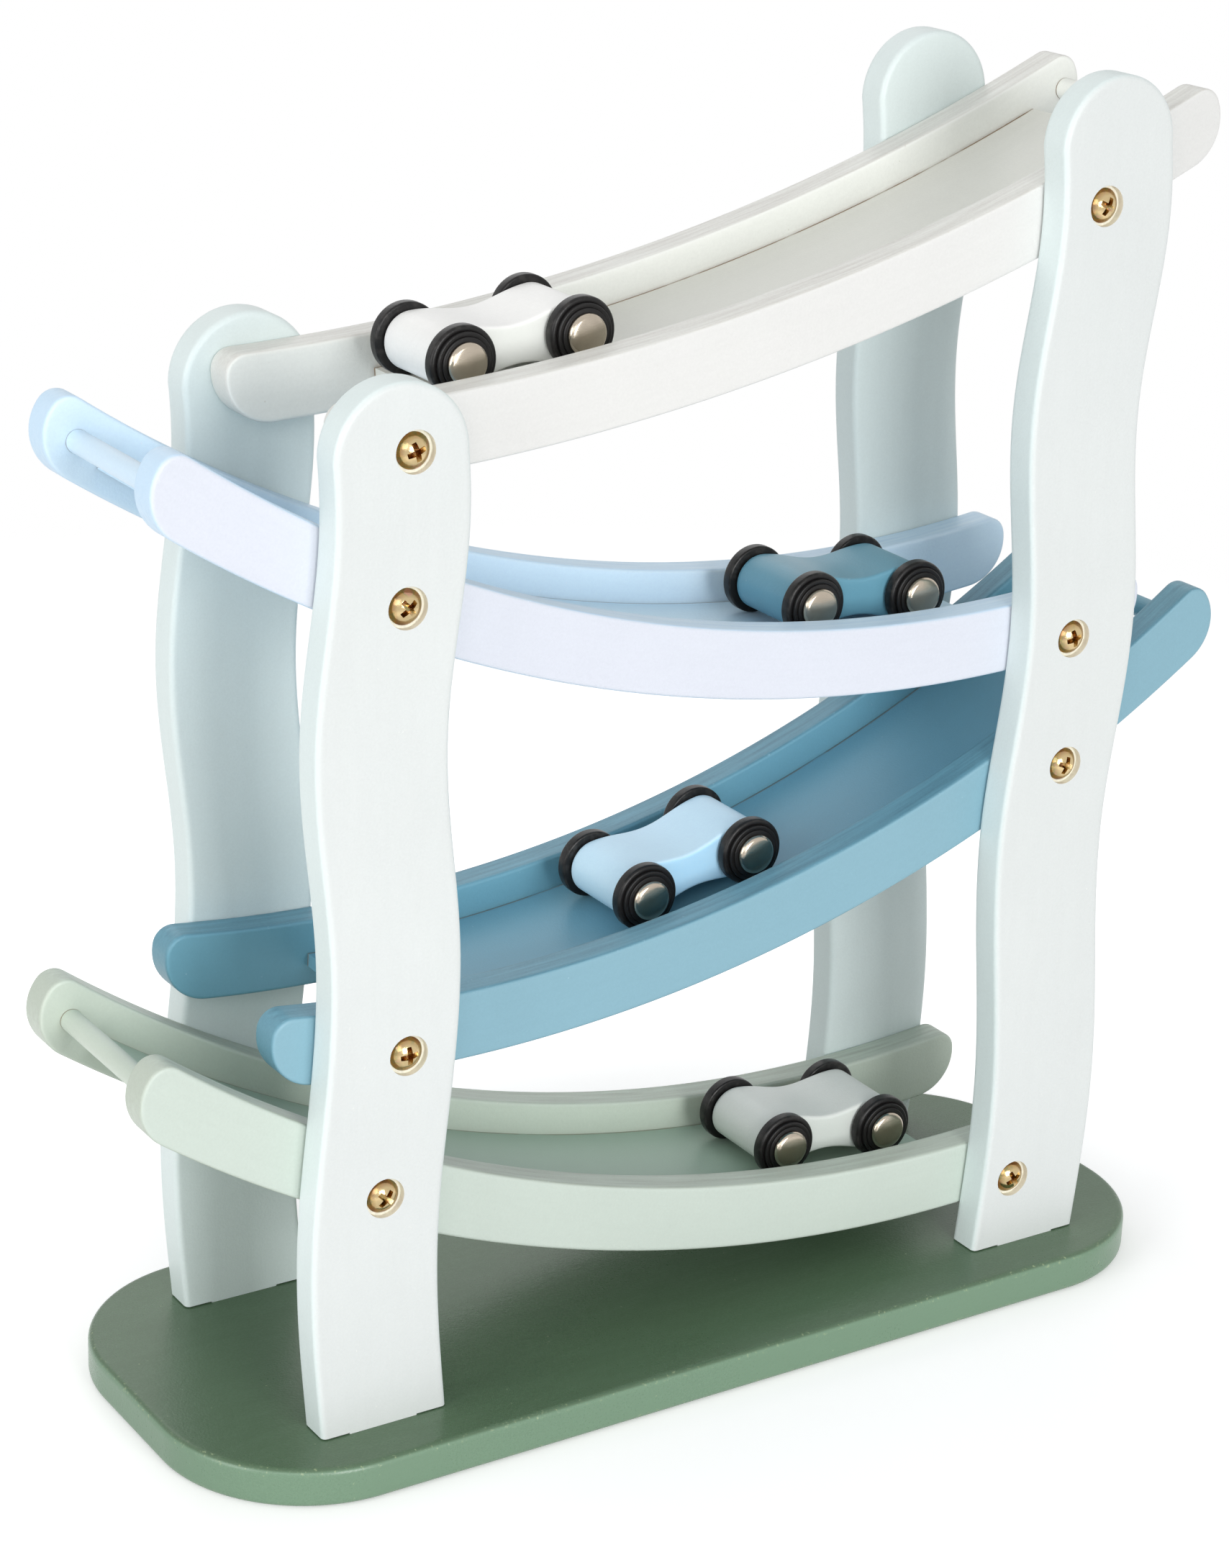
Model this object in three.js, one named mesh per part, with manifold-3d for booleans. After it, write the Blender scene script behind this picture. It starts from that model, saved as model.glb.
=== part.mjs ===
// Wooden racing track: four curved tracks zigzag down between two pairs of wavy posts on a board,
// and a small car stands on each track. Millimetres, +Z up. The origin is under the middle of the
// base, +X runs along the tracks and -Y is the front, where the screw heads show.
import * as THREE from "three";
import { mergeVertices } from "three/addons/utils/BufferGeometryUtils.js";
import Module from "manifold-3d";

// Base board
const BASE_LENGTH = 258;
const BASE_WIDTH = 100;
const BASE_THICKNESS = 9;
const BASE_CORNER_RADIUS = 35;
const BASE_EDGE_ROUND = 1.5;

// Posts. Heights are counted from the top of the base. The wavy edges swing left and right in turn
// at the crest heights, and the left and right pairs swing opposite ways.
const POST_WIDTH = 30.4;
const POST_THICKNESS = 8.4;
const POST_EDGE_ROUND = 1.2;
const POST_FOOT_ROUND = 0.8;
const LEFT_POST_X = -87;
const LEFT_POST_HEIGHT = 230;
const RIGHT_POST_X = 89.8;
const RIGHT_POST_HEIGHT = 279;
const WAVE_SWING = 2.1;
const WAVE_CRESTS = [-29, 39, 102, 154, 203, 248, 289];
const SHOULDER_GAP = 0.4;
const TENON_WIDTH = 16.4;
const TENON_LENGTH = 6;

// Tracks: two rails, a floor between them and a stop dowel across the high end
const LANE_WIDTH = 41.6;
const RAIL_THICKNESS = 7.9;
const RAIL_HEIGHT = 15.6;
const RAIL_EDGE_ROUND = 0.8;
const RAIL_TOP_ROUND = 4.5;
const RAIL_TOE_ROUND = 10.8;
const FLOOR_DROP = 7.7;
const FLOOR_THICKNESS = 3;
const FLOOR_LOW_GAP = 34;
const FLOOR_HIGH_GAP = 15;
const DOWEL_DIAMETER = 5;
const DOWEL_SEAT = 3;

// Each track is an arc, and the four are listed from the top one down. LOW_XS and LOW_HEIGHTS place
// the lowest point of the arc of the rail tops. CLIMBS says which way a track climbs, and its ends
// and its car are runs along that arc, counted uphill from the lowest point. A dowel lies its inset
// below the high end, and a screw its offset to the right of the post's middle.
const CLIMBS = [1, -1, 1, -1];
const TRACK_RADII = [543, 335, 335, 335];
const LOW_XS = [-107.2, 61.8, -63.1, 68.6];
const LOW_HEIGHTS = [223, 159.2, 93.6, 24.8];
const LOW_ENDS = [12.2, -52.5, -46, -42];
const DOWEL_INSETS = [5, 8.5, 8, 8.3];
const HIGH_ENDS = [238.3, 205.5, 210.6, 218];
const CAR_RUNS = [63.5, 13.3, 70, 19.5];
const LEFT_SCREW_OFFSETS = [4.1, 2.9, 4.8, -0.3];
const RIGHT_SCREW_OFFSETS = [-1.8, -0.7, 0, -5.3];

// Screws through the posts into the rails
const SCREW_HEAD_DIAMETER = 7.7;
const SCREW_HEAD_HEIGHT = 2.3;
const SCREW_HEAD_RIM = 0.9;
const SCREW_SHANK_DIAMETER = 3.6;
const SCREW_SHANK_LENGTH = 11;
const COUNTERBORE_DIAMETER = 9;
const COUNTERBORE_DEPTH = 1.6;

// Cars
const WHEELBASE = 28.7;
const WHEEL_DIAMETER = 15.6;
const TREAD_WIDTH = 2.8;
const TREAD_ROUND = 0.7;
const STEP_DIAMETER = 13;
const STEP_WIDTH = 0.7;
const HUB_DIAMETER = 11;
const HUB_WIDTH = 0.3;
const AXLE_DIAMETER = 2.6;
const CAP_DIAMETER = 9.2;
const CAP_RIM = 0.6;
const CAP_DOME = 0.9;
const BODY_WIDTH = 19.4;
const BODY_GROUND_CLEARANCE = 1.5;
const BODY_WAIST = 8.6;
const BODY_EDGE_ROUND = 0.8;

// Clearances
const GLUE_GAP = 0.2;
const SCREW_GAP = 0.25;
const AXLE_GAP = 0.3;
const WHEEL_GAP = 0.4;
const FLOOR_GAP = 0.3;

// Facets
const ROUND_FACETS = 14;
const PIN_FACETS = 10;
const SMALL_HOLE_FACETS = 8;
const CORNER_FACETS = 5;
const WAVE_FACETS = 4;
const ARC_FACETS = 12;
const RAIL_CORNER_FACETS = 3;
const DOME_FACETS = 3;

const LANE_EDGE = LANE_WIDTH / 2;
const POST_INNER_FACE = LANE_EDGE + RAIL_THICKNESS;
const POST_OUTER_FACE = POST_INNER_FACE + POST_THICKNESS;
const WHEEL_RADIUS = WHEEL_DIAMETER / 2;
const WHEEL_WIDTH = TREAD_WIDTH + STEP_WIDTH + HUB_WIDTH;

const painted = (color) => new THREE.MeshStandardMaterial({ color, roughness: 0.55 });
const metal = (color) => new THREE.MeshStandardMaterial({ color, roughness: 0.25, metalness: 1 });
const BASE_PAINT = painted(0x66806c);
const POST_PAINT = painted(0xe6eeec);
const TRACK_PAINTS = [0xeeedea, 0xcfe2f6, 0x7aa6bd, 0xcbd8ca].map(painted);
const CAR_PAINTS = [0xf2f3f2, 0x5f8ca3, 0xb4d2ef, 0xc4c8ca].map(painted);
const RUBBER = new THREE.MeshStandardMaterial({ color: 0x151414, roughness: 0.6 });
const NICKEL = metal(0xc9c6bd);
const YELLOW_ZINC = metal(0xc8a95a);

const wasm = await Module();
wasm.setup();

// Booleans: a geometry becomes a solid by its positions alone, and a solid gives its mesh back.
function solid(geometry) {
  const bare = geometry.clone();
  bare.deleteAttribute("normal");
  bare.deleteAttribute("uv");
  const merged = mergeVertices(bare, 1e-4);
  return new wasm.Manifold(
    new wasm.Mesh({
      numProp: 3,
      vertProperties: merged.attributes.position.array,
      triVerts: new Uint32Array(merged.index.array),
    }),
  );
}

function geometryOf(manifold) {
  const mesh = manifold.getMesh();
  const geometry = new THREE.BufferGeometry();
  geometry.setAttribute("position", new THREE.BufferAttribute(mesh.vertProperties, 3));
  geometry.setIndex(new THREE.BufferAttribute(mesh.triVerts, 1));
  geometry.computeVertexNormals();
  return geometry;
}

function cut(geometry, tools) {
  return geometryOf(tools.reduce((body, tool) => body.subtract(solid(tool)), solid(geometry)));
}

// A board cut from an outline in the XZ plane, its thickness centred on y = 0, with eased edges.
function board(shape, thickness, edgeRound) {
  const geometry = new THREE.ExtrudeGeometry(shape, {
    depth: thickness - 2 * edgeRound,
    bevelEnabled: edgeRound > 0,
    bevelThickness: edgeRound,
    bevelSize: edgeRound,
    bevelOffset: -edgeRound,
    bevelSegments: 1,
    curveSegments: CORNER_FACETS,
  });
  geometry.translate(0, 0, edgeRound - thickness / 2);
  return geometry.rotateX(Math.PI / 2);
}

// A cylinder along Y between two values of y.
function crossPin(diameter, x, z, from, to, facets) {
  const pin = new THREE.CylinderGeometry(diameter / 2, diameter / 2, Math.abs(to - from), facets);
  return pin.translate(x, (from + to) / 2, z);
}

function block(width, depth, height, x, y, bottom) {
  return new THREE.BoxGeometry(width, depth, height).translate(x, y, bottom + height / 2);
}

function named(name, geometry, material) {
  const mesh = new THREE.Mesh(geometry, material);
  mesh.name = name;
  return mesh;
}

const TRACKS = TRACK_RADII.map((radius, i) => ({
  radius,
  uphill: CLIMBS[i],
  lowX: LOW_XS[i],
  lowHeight: LOW_HEIGHTS[i],
  lowEnd: LOW_ENDS[i],
  highEnd: HIGH_ENDS[i],
  dowelInset: DOWEL_INSETS[i],
  car: CAR_RUNS[i],
  screws: [LEFT_SCREW_OFFSETS[i], RIGHT_SCREW_OFFSETS[i]],
}));
const SIDES = [
  { name: "front", y: -1 },
  { name: "back", y: 1 },
];
const POSTS = [
  { name: "left", x: LEFT_POST_X, height: LEFT_POST_HEIGHT, swing: WAVE_SWING },
  { name: "right", x: RIGHT_POST_X, height: RIGHT_POST_HEIGHT, swing: -WAVE_SWING },
];

// Tracks as bent strips. A point is given by its run along the arc of the rail tops and its drop
// below them.
function arcCentre(track) {
  return { x: track.lowX, z: BASE_THICKNESS + track.lowHeight + track.radius };
}

function onTrack(track, run, drop) {
  const centre = arcCentre(track);
  const angle = run / track.radius;
  const reach = track.radius + drop;
  return new THREE.Vector2(
    centre.x + track.uphill * reach * Math.sin(angle),
    centre.z - reach * Math.cos(angle),
  );
}

function runAtX(track, x, drop) {
  return track.radius * Math.asin((track.uphill * (x - track.lowX)) / (track.radius + drop));
}

function stretch(from, to, steps) {
  return Array.from({ length: steps + 1 }, (_, i) => from + ((to - from) * i) / steps);
}

// A quarter round in run and drop, from one side of a corner to the other.
function roundCorner(run, drop, radius, startAngle) {
  return stretch(startAngle, startAngle + Math.PI / 2, RAIL_CORNER_FACETS).map((angle) => [
    run + radius * Math.cos(angle),
    drop + radius * Math.sin(angle),
  ]);
}

// The strip's outline: along its top, round the high end, back along its bottom, round the low end.
function railShape(track) {
  const { lowEnd, highEnd } = track;
  const top = RAIL_TOP_ROUND;
  const toe = RAIL_TOE_ROUND;
  const outline = [
    ...stretch(lowEnd + top, highEnd - top, ARC_FACETS).slice(1, -1).map((run) => [run, 0]),
    ...roundCorner(highEnd - top, top, top, -Math.PI / 2),
    ...roundCorner(highEnd - toe, RAIL_HEIGHT - toe, toe, 0),
    ...stretch(highEnd - toe, lowEnd + toe, ARC_FACETS).slice(1, -1).map((run) => [run, RAIL_HEIGHT]),
    ...roundCorner(lowEnd + toe, RAIL_HEIGHT - toe, toe, Math.PI / 2),
    ...roundCorner(lowEnd + top, top, top, Math.PI),
  ];
  return new THREE.Shape(outline.map(([run, drop]) => onTrack(track, run, drop)));
}

function screwPoints(track) {
  return POSTS.map((post, i) => {
    const x = post.x + track.screws[i];
    return onTrack(track, runAtX(track, x, RAIL_HEIGHT / 2), RAIL_HEIGHT / 2);
  });
}

function dowelPoint(track) {
  return onTrack(track, track.highEnd - track.dowelInset, RAIL_HEIGHT / 2);
}

function rail(track, side) {
  const middle = LANE_EDGE + RAIL_THICKNESS / 2;
  const strip = board(railShape(track), RAIL_THICKNESS, RAIL_EDGE_ROUND).translate(0, side.y * middle, 0);
  const dowel = dowelPoint(track);
  const socketEnd = side.y * (LANE_EDGE + DOWEL_SEAT + GLUE_GAP);
  const socketDiameter = DOWEL_DIAMETER + 2 * GLUE_GAP;
  const socket = crossPin(socketDiameter, dowel.x, dowel.y, 0, socketEnd, PIN_FACETS);
  const pilotDiameter = SCREW_SHANK_DIAMETER + 2 * SCREW_GAP;
  const pilotEnd = side.y * (POST_OUTER_FACE - COUNTERBORE_DEPTH - SCREW_SHANK_LENGTH - SCREW_GAP);
  const pilots = screwPoints(track).map((point) =>
    crossPin(pilotDiameter, point.x, point.y, side.y * POST_OUTER_FACE, pilotEnd, SMALL_HOLE_FACETS),
  );
  return cut(strip, [socket, ...pilots]);
}

function floor(track) {
  const from = track.lowEnd + FLOOR_LOW_GAP;
  const to = track.highEnd - FLOOR_HIGH_GAP;
  const top = stretch(from, to, ARC_FACETS).map((run) => onTrack(track, run, FLOOR_DROP));
  const bottom = stretch(to, from, ARC_FACETS).map((run) =>
    onTrack(track, run, FLOOR_DROP + FLOOR_THICKNESS),
  );
  return board(new THREE.Shape([...top, ...bottom]), LANE_WIDTH, 0);
}

function dowel(track) {
  const point = dowelPoint(track);
  const reach = LANE_EDGE + DOWEL_SEAT;
  return crossPin(DOWEL_DIAMETER, point.x, point.y, -reach, reach, PIN_FACETS);
}

// Posts. Between two crests the wave follows half a cosine.
function waveAt(height, swing) {
  const last = WAVE_CRESTS.length - 1;
  const above = height < WAVE_CRESTS[last] ? WAVE_CRESTS.findIndex((crest) => crest > height) : last;
  const [from, to] = [WAVE_CRESTS[above - 1], WAVE_CRESTS[above]];
  const side = above % 2 ? 1 : -1;
  return side * swing * Math.cos((Math.PI * (height - from)) / (to - from));
}

function postShape(post) {
  const half = POST_WIDTH / 2;
  const shoulder = BASE_THICKNESS + SHOULDER_GAP;
  const crownHeight = post.height - half;
  const middle = (height) => post.x + waveAt(height, post.swing);
  const crests = WAVE_CRESTS.filter((crest) => crest > POST_FOOT_ROUND && crest < crownHeight);
  const stops = [SHOULDER_GAP + POST_FOOT_ROUND, ...crests, crownHeight];
  const heights = stops
    .slice(1)
    .flatMap((stop, i) => stretch(stops[i], stop, WAVE_FACETS).slice(0, -1));
  const shape = new THREE.Shape();
  const foot = middle(SHOULDER_GAP);
  shape.moveTo(foot - half + POST_FOOT_ROUND, shoulder);
  shape.lineTo(foot + half - POST_FOOT_ROUND, shoulder);
  for (const height of heights) {
    shape.lineTo(middle(height) + half, BASE_THICKNESS + height);
  }
  shape.absarc(middle(crownHeight), BASE_THICKNESS + crownHeight, half, 0, Math.PI, false);
  for (const height of heights.toReversed()) {
    shape.lineTo(middle(height) - half, BASE_THICKNESS + height);
  }
  shape.closePath();
  return shape;
}

function post(kind, side) {
  const middle = side.y * (POST_INNER_FACE + POST_THICKNESS / 2);
  const upright = board(postShape(kind), POST_THICKNESS, POST_EDGE_ROUND).translate(0, middle, 0);
  const tenonHeight = TENON_LENGTH + SHOULDER_GAP + POST_FOOT_ROUND;
  const tenonFoot = BASE_THICKNESS - TENON_LENGTH;
  const tenon = block(TENON_WIDTH, POST_THICKNESS, tenonHeight, kind.x, middle, tenonFoot);
  const joined = geometryOf(solid(upright).add(solid(tenon)));
  const seat = side.y * (POST_OUTER_FACE - COUNTERBORE_DEPTH);
  const clearDiameter = SCREW_SHANK_DIAMETER + 2 * SCREW_GAP;
  const holes = TRACKS.flatMap((track) => {
    const { x, y: z } = screwPoints(track)[POSTS.indexOf(kind)];
    const outside = side.y * (POST_OUTER_FACE + COUNTERBORE_DEPTH);
    return [
      crossPin(COUNTERBORE_DIAMETER, x, z, seat, outside, ROUND_FACETS),
      crossPin(clearDiameter, x, z, 0, outside, SMALL_HOLE_FACETS),
    ];
  });
  return cut(joined, holes);
}

// Base, with a blind mortise under each post.
function roundedRectangle(length, width, radius) {
  const x = length / 2 - radius;
  const y = width / 2 - radius;
  const shape = new THREE.Shape();
  shape.absarc(x, -y, radius, -Math.PI / 2, 0, false);
  shape.absarc(x, y, radius, 0, Math.PI / 2, false);
  shape.absarc(-x, y, radius, Math.PI / 2, Math.PI, false);
  shape.absarc(-x, -y, radius, Math.PI, 1.5 * Math.PI, false);
  return shape;
}

function base() {
  const plan = roundedRectangle(BASE_LENGTH, BASE_WIDTH, BASE_CORNER_RADIUS);
  const plate = board(plan, BASE_THICKNESS, BASE_EDGE_ROUND).rotateX(-Math.PI / 2);
  plate.translate(0, 0, BASE_THICKNESS / 2);
  const width = TENON_WIDTH + 2 * GLUE_GAP;
  const depth = POST_THICKNESS + 2 * GLUE_GAP;
  const foot = BASE_THICKNESS - TENON_LENGTH - GLUE_GAP;
  const middle = POST_INNER_FACE + POST_THICKNESS / 2;
  const mortises = POSTS.flatMap((kind) =>
    SIDES.map((side) => block(width, depth, BASE_THICKNESS, kind.x, side.y * middle, foot)),
  );
  return cut(plate, mortises);
}

// Turned pieces, about Y. Their outlines start and end on the axis or close on themselves.
function turned(points, facets) {
  return new THREE.LatheGeometry(points.map(([radius, y]) => new THREE.Vector2(radius, y)), facets);
}

// A pan head screw whose head starts at y = 0 and rises along +Y.
function screw() {
  const shank = SCREW_SHANK_DIAMETER / 2;
  const head = SCREW_HEAD_DIAMETER / 2;
  const rise = SCREW_HEAD_HEIGHT - SCREW_HEAD_RIM;
  const dome = stretch(0, Math.PI / 2, DOME_FACETS).map((angle) => [
    head * Math.cos(angle),
    SCREW_HEAD_RIM + rise * Math.sin(angle),
  ]);
  dome[dome.length - 1][0] = 0;
  const pointed = [
    [0, -SCREW_SHANK_LENGTH],
    [shank, shank - SCREW_SHANK_LENGTH],
    [shank, 0],
    [head, 0],
  ];
  return turned([...pointed, ...dome], PIN_FACETS);
}

// A wheel whose inner face is at y = 0 and whose stepped outer face looks along +Y.
function wheel() {
  const bore = AXLE_DIAMETER / 2 + GLUE_GAP;
  const tread = WHEEL_RADIUS;
  const stepAt = TREAD_WIDTH + STEP_WIDTH;
  const profile = [
    [bore, 0],
    [tread, 0],
    [tread, TREAD_WIDTH - TREAD_ROUND],
    [tread - TREAD_ROUND, TREAD_WIDTH],
    [STEP_DIAMETER / 2, TREAD_WIDTH],
    [STEP_DIAMETER / 2, stepAt],
    [HUB_DIAMETER / 2, WHEEL_WIDTH],
    [bore, WHEEL_WIDTH],
    [bore, 0],
  ];
  return turned(profile, ROUND_FACETS);
}

// An axle along Y with a domed cap outside each wheel.
function axle() {
  const rod = AXLE_DIAMETER / 2;
  const cap = CAP_DIAMETER / 2;
  const inside = BODY_WIDTH / 2 + WHEEL_GAP + WHEEL_WIDTH + GLUE_GAP;
  const rim = inside + CAP_RIM;
  const half = [
    [rod, inside],
    [cap, inside],
    [cap, rim],
    [cap * Math.cos(Math.PI / 4), rim + CAP_DOME * Math.sin(Math.PI / 4)],
    [0, rim + CAP_DOME],
  ];
  return turned([...half.toReversed().map(([radius, y]) => [radius, -y]), ...half], PIN_FACETS);
}

// A car body: round ends about the axles and a hollow top and bottom, cut across its width.
function carBody() {
  const end = WHEEL_RADIUS - BODY_GROUND_CLEARANCE;
  const half = WHEELBASE / 2;
  const dip = end - BODY_WAIST / 2;
  const hollow = (t) => end - (dip * (1 - Math.cos(2 * Math.PI * t))) / 2;
  const steps = stretch(0, 1, 2 * WAVE_FACETS);
  const rounds = stretch(-Math.PI / 2, Math.PI / 2, 2 * WAVE_FACETS);
  const outline = [
    ...steps.slice(1, -1).map((t) => [half * (2 * t - 1), -hollow(t)]),
    ...rounds.map((angle) => [half + end * Math.cos(angle), end * Math.sin(angle)]),
    ...steps.slice(1, -1).map((t) => [half * (1 - 2 * t), hollow(t)]),
    ...rounds.map((angle) => [-half - end * Math.cos(angle), -end * Math.sin(angle)]),
  ];
  const shape = new THREE.Shape(outline.map(([x, z]) => new THREE.Vector2(x, z)));
  const bore = AXLE_DIAMETER + 2 * AXLE_GAP;
  const bores = [-half, half].map((x) =>
    crossPin(bore, x, 0, -BODY_WIDTH, BODY_WIDTH, SMALL_HOLE_FACETS),
  );
  return cut(board(shape, BODY_WIDTH, BODY_EDGE_ROUND), bores);
}

const CAR_BODY = carBody();
const AXLE = axle();
const WHEEL = wheel();
const SCREW = screw();

// A car stands with both axles at one distance from the centre of its track's arc, so it can run
// along the floor by turning about that centre. The lead axle is the downhill one.
function car(track, number) {
  const centre = arcCentre(track);
  const axleReach = track.radius + FLOOR_DROP - WHEEL_RADIUS - FLOOR_GAP;
  const reach = Math.sqrt(axleReach ** 2 - (WHEELBASE / 2) ** 2);
  const angle = (track.uphill * track.car) / track.radius;
  const group = new THREE.Group();
  group.position.set(centre.x + reach * Math.sin(angle), 0, centre.z - reach * Math.cos(angle));
  group.rotation.y = -angle;
  group.add(named(`car_${number}_body`, CAR_BODY, CAR_PAINTS[number - 1]));
  for (const [place, along] of [["lead", -1], ["tail", 1]]) {
    const wheelset = new THREE.Group();
    wheelset.position.x = (along * track.uphill * WHEELBASE) / 2;
    wheelset.add(named(`car_${number}_${place}_axle`, AXLE, NICKEL));
    for (const [reachSide, y] of [["near", -1], ["far", 1]]) {
      const wheelMesh = named(`car_${number}_${place}_wheel_${reachSide}`, WHEEL, RUBBER);
      wheelMesh.position.y = y * (BODY_WIDTH / 2 + WHEEL_GAP);
      wheelMesh.rotation.x = y < 0 ? Math.PI : 0;
      wheelset.add(wheelMesh);
    }
    group.add(wheelset);
  }
  return group;
}

const racingTrack = new THREE.Group();
racingTrack.add(named("base", base(), BASE_PAINT));
for (const side of SIDES) {
  for (const kind of POSTS) {
    racingTrack.add(named(`${side.name}_${kind.name}_post`, post(kind, side), POST_PAINT));
  }
}
TRACKS.forEach((track, i) => {
  const number = i + 1;
  for (const side of SIDES) {
    racingTrack.add(named(`track_${number}_${side.name}_rail`, rail(track, side), TRACK_PAINTS[i]));
  }
  racingTrack.add(named(`track_${number}_floor`, floor(track), TRACK_PAINTS[i]));
  racingTrack.add(named(`track_${number}_dowel`, dowel(track), TRACK_PAINTS[i]));
  screwPoints(track).forEach((point, j) => {
    const screwMesh = named(`front_screw_${number}_${POSTS[j].name}`, SCREW, YELLOW_ZINC);
    screwMesh.position.set(point.x, COUNTERBORE_DEPTH - POST_OUTER_FACE, point.y);
    screwMesh.rotation.x = Math.PI;
    racingTrack.add(screwMesh);
  });
  racingTrack.add(car(track, number));
});

export default racingTrack;
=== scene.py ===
import math

import bmesh
import bpy
from mathutils import Matrix, Vector


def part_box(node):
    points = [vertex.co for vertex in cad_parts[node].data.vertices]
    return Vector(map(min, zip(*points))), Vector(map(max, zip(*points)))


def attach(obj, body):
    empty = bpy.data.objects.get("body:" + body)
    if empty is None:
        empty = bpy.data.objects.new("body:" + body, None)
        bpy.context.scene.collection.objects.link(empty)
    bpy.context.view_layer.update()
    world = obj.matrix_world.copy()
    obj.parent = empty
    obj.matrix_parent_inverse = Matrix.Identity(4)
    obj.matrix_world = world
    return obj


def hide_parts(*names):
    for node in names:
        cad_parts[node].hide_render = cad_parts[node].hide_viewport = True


# Wooden racing track: four bent tracks zigzag down between two pairs of wavy posts on a board, and
# a small car stands on each. Sizes are in millimetres here and become metres in the meshes.
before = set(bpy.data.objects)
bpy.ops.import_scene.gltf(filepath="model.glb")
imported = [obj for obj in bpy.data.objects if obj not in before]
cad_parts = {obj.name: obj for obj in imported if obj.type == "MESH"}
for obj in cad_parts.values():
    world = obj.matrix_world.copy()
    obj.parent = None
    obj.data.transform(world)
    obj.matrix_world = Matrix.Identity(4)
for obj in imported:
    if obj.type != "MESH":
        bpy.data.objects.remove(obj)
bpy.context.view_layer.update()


# Base board
# A 9 mm board sawn to a long plan with big round corners, its edges eased with a router and then
# sprayed sage green in a satin paint. Four blind mortises in its top hold the feet of the posts.
MM = 0.001
BASE_LENGTH = 258
BASE_WIDTH = 100
BASE_THICKNESS = 9
BASE_CORNER = 35
BASE_EASE = 1.5
MORTISE = (16.6, 8.44)
MORTISE_FOOT = 2.8
POST_XS = {"left": -87, "right": 89.8}
SIDES = {"front": -1, "back": 1}
POST_MIDDLE_Y = 32.9
SAGE = (111, 139, 115)
# Painted shade: faces that look up take this darker sage.
SAGE_SHADED_TOP = (82, 106, 81)
SAGE_WORN = (176, 190, 150)
SAGE_GLOSS = 0.29
SAGE_GRAIN = (70, 420, 420)
SAGE_WEAR = 0.07
SHADED_TOP_SHARE = 0.95
SHADED_TOP_STREAKS = 0.3
# How fine the paint's noises are, and from which value on a noise shows
CLOUD_SCALE = 22
SPRAY_SCALE = 1700
SPECK_SCALE = 900
SPECK_START = 0.78
RUB_SCALE = 1150
RUB_START = 0.66
GLUE_SCALE = 95
GLUE_START = 0.3
GLUE_EDGE = 0.1
GLUE_BROWN = (128, 98, 62)
# How far a paint's tone strays, and how a face has to lie to take the colour of its kind: the
# washed-out front face that is painted light, the painted shade of faces that look up and of a block's
# sides, and the grain of a strip's sawn edges
TONE_LIFTS = (0.95, 1.05)
FACE_EDGE = 0.7
FACE_STEEPNESS = 4
SHADED_TOP_RISE = 0.55
STRIP_FACING = 0.8
SHADED_SIDE_FACING = 0.7
# How the eased edges are laid out and shaded
SHARP_EDGE = math.radians(32)
EASE_STEPS = 5
EDGE_BAND = 0.5
MITRE_LIMIT = 0.5
CLOSE = 0.01


def arc(x, y, radius, start, end, steps):
    angles = [math.radians(start + (end - start) * i / steps) for i in range(steps + 1)]
    return [(x + radius * math.cos(a), y + radius * math.sin(a)) for a in angles]


def inset(outline, depth):
    """The outline drawn in by a depth, for one that runs anticlockwise."""
    moved = []
    for i, point in enumerate(outline):
        here = Vector(point)
        before = (here - Vector(outline[i - 1])).normalized()
        after = (Vector(outline[(i + 1) % len(outline)]) - here).normalized()
        inward = Vector((-before.y - after.y, before.x + after.x)).normalized()
        reach = depth / max(inward.dot(Vector((-after.y, after.x))), MITRE_LIMIT)
        moved.append(here + inward * reach)
    return moved


def skin(form, rings):
    """Closes a form from rings of points, with a flat face at each end."""
    loops = [[form.verts.new(Vector(p) * MM) for p in ring] for ring in rings]
    for low, high in zip(loops, loops[1:]):
        for i in range(len(low)):
            j = (i + 1) % len(low)
            form.faces.new((low[i], low[j], high[j], high[i]))
    form.faces.new(loops[0])
    form.faces.new(loops[-1])


def piece_from(name, form):
    bmesh.ops.recalc_face_normals(form, faces=form.faces)
    mesh = bpy.data.meshes.new(name)
    form.to_mesh(mesh)
    form.free()
    piece = bpy.data.objects.new(name, mesh)
    bpy.context.scene.collection.objects.link(piece)
    return piece


def eased_board(name, outline, low, high, ease, lay):
    """A board of that outline from low to high, its edges rounded over and set in by the ease."""
    turns = [math.radians(90 * i / EASE_STEPS) for i in range(EASE_STEPS + 1)]
    over = [(ease * (1 - math.sin(a)), ease * (1 - math.cos(a))) for a in turns]
    edge = [(ease + EDGE_BAND, 0)] + over + [(0, ease + EDGE_BAND)]
    steps = [(depth, low + rise) for depth, rise in edge]
    steps += [(depth, high - rise) for depth, rise in reversed(edge)]
    form = bmesh.new()
    skin(form, [[lay(x, y, level) for x, y in inset(outline, depth)] for depth, level in steps])
    return piece_from(name, form)


def lying(x, y, level):
    return (x, y, level)


def carve(piece, tools):
    """Cuts a form of tools out of a piece."""
    cutter = piece_from("cutter", tools)
    carving = piece.modifiers.new("carving", "BOOLEAN")
    carving.operation = "DIFFERENCE"
    carving.solver = "EXACT"
    carving.object = cutter
    whole = piece.data
    graph = bpy.context.evaluated_depsgraph_get()
    piece.data = bpy.data.meshes.new_from_object(piece.evaluated_get(graph))
    piece.modifiers.clear()
    piece.data.name = whole.name
    bpy.data.meshes.remove(whole)
    bpy.data.objects.remove(cutter)


def smooth(piece, sharp):
    piece.data.shade_smooth()
    piece.data.set_sharp_from_angle(angle=sharp)


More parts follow.
